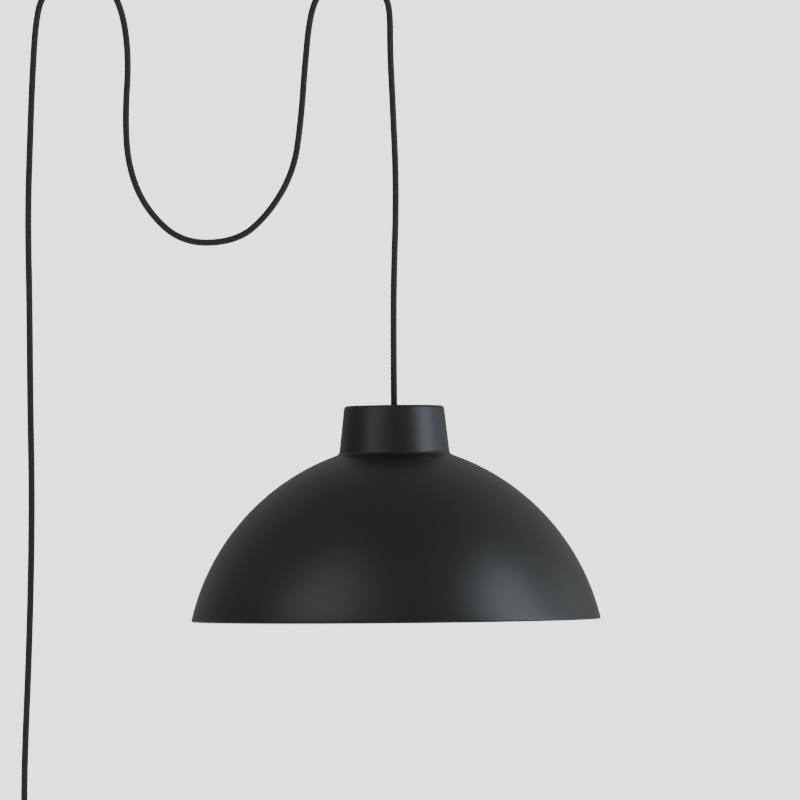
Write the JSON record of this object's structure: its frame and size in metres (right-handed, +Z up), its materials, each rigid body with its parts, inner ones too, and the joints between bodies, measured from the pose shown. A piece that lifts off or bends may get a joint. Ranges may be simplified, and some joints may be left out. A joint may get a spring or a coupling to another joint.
{
  "type": "swag pendant lamp",
  "caption": "Plug-in swag pendant lamp: matte black spun dome shade with a tapered neck on a black textile cord over two ceiling hooks, with in-line switch and plug.",
  "frame": {"origin": "centre of the main ceiling hook's screw pair, on the ceiling plane", "axes": "+X to the right along the line of the two hooks, +Y away from the viewer, +Z up"},
  "size_m": [0.6114, 0.4, 1.0807],
  "materials": {
    "shade_coat": "satin-matte powder coat",
    "textile_cord": "fine round braid",
    "black_rubber": "matt rubber",
    "zinc_steel": "zinc plated",
    "moulded_black": "fine moulded texture",
    "steatite": "glazed steatite",
    "brass": "stamped brass",
    "nickel_cap": "nickel plated",
    "opal_globe": "opal diffuser",
    "white_plastic": "smooth moulded",
    "dark_vitrite": "glassy insulator",
    "board_white": "solder-resist coated",
    "board_green": "circuit board",
    "core_brown": "core insulation",
    "core_blue": "core insulation",
    "hook_steel": "black stoved paint",
    "screw_steel": "zinc plated",
    "switch_black": "moulded, light gloss",
    "tie_black": "hook-and-loop strap"
  },
  "bodies": {
    "mounting": {"main_hook_plate": "hook_steel", "main_hook_screws": "screw_steel", "main_hook_rod": "hook_steel", "side_hook_plate": "hook_steel", "side_hook_screws": "screw_steel", "side_hook_rod": "hook_steel", "swag_cord": "textile_cord", "switch_cover": "switch_black", "switch_base": "switch_black", "switch_screws": "screw_steel", "rocker_axle": "screw_steel", "fixed_contacts": "brass", "through_core": "core_blue", "switched_cores": "core_brown", "coil_lead_in": "textile_cord", "coil_lead_out": "textile_cord", "cord_coil": "textile_cord", "coil_tie": "tie_black", "cord_relief": "switch_black", "plug_body": "switch_black", "plug_pins": "brass"},
    "pendant": {"drop_cord": "textile_cord", "shade_neck": "shade_coat", "shade_dome": "shade_coat", "cord_bush": "black_rubber", "hanger_cup": "zinc_steel", "hollow_nipple": "zinc_steel", "nipple_locknut": "zinc_steel", "cord_grip": "moulded_black", "grip_screw": "screw_steel", "holder_cap": "moulded_black", "holder_body": "moulded_black", "holder_insert": "steatite", "thread_shell": "brass", "centre_contact": "brass", "live_terminal": "brass", "live_core": "core_brown", "neutral_terminal": "brass", "neutral_core": "core_blue", "terminal_screws": "screw_steel", "cord_inner_end": "textile_cord"},
    "bulb": {"bulb_contact": "brass", "bulb_insulator": "dark_vitrite", "bulb_screw_cap": "nickel_cap", "bulb_housing": "white_plastic", "bulb_globe": "opal_globe", "led_board": "board_white", "led_driver": "board_green"},
    "rocker": {"rocker": "switch_black", "rocker_contact": "brass"}
  },
  "joints": [
    {"name": "pendant_swing", "type": "hinge", "parent": "mounting", "child": "pendant", "pos_m": [0.0371, 0, -0.098], "axis": [0, 1, 0], "range_deg": [-12, 12]},
    {"name": "bulb_release", "type": "slide", "parent": "pendant", "child": "bulb", "axis": [0.0093, 0, -1], "range_m": [0, 0.16]},
    {"name": "rocker_throw", "type": "hinge", "parent": "mounting", "child": "rocker", "pos_m": [-0.3195, -0.005, -0.894], "axis": [1, 0, 0], "range_deg": [0, 16]}
  ]
}
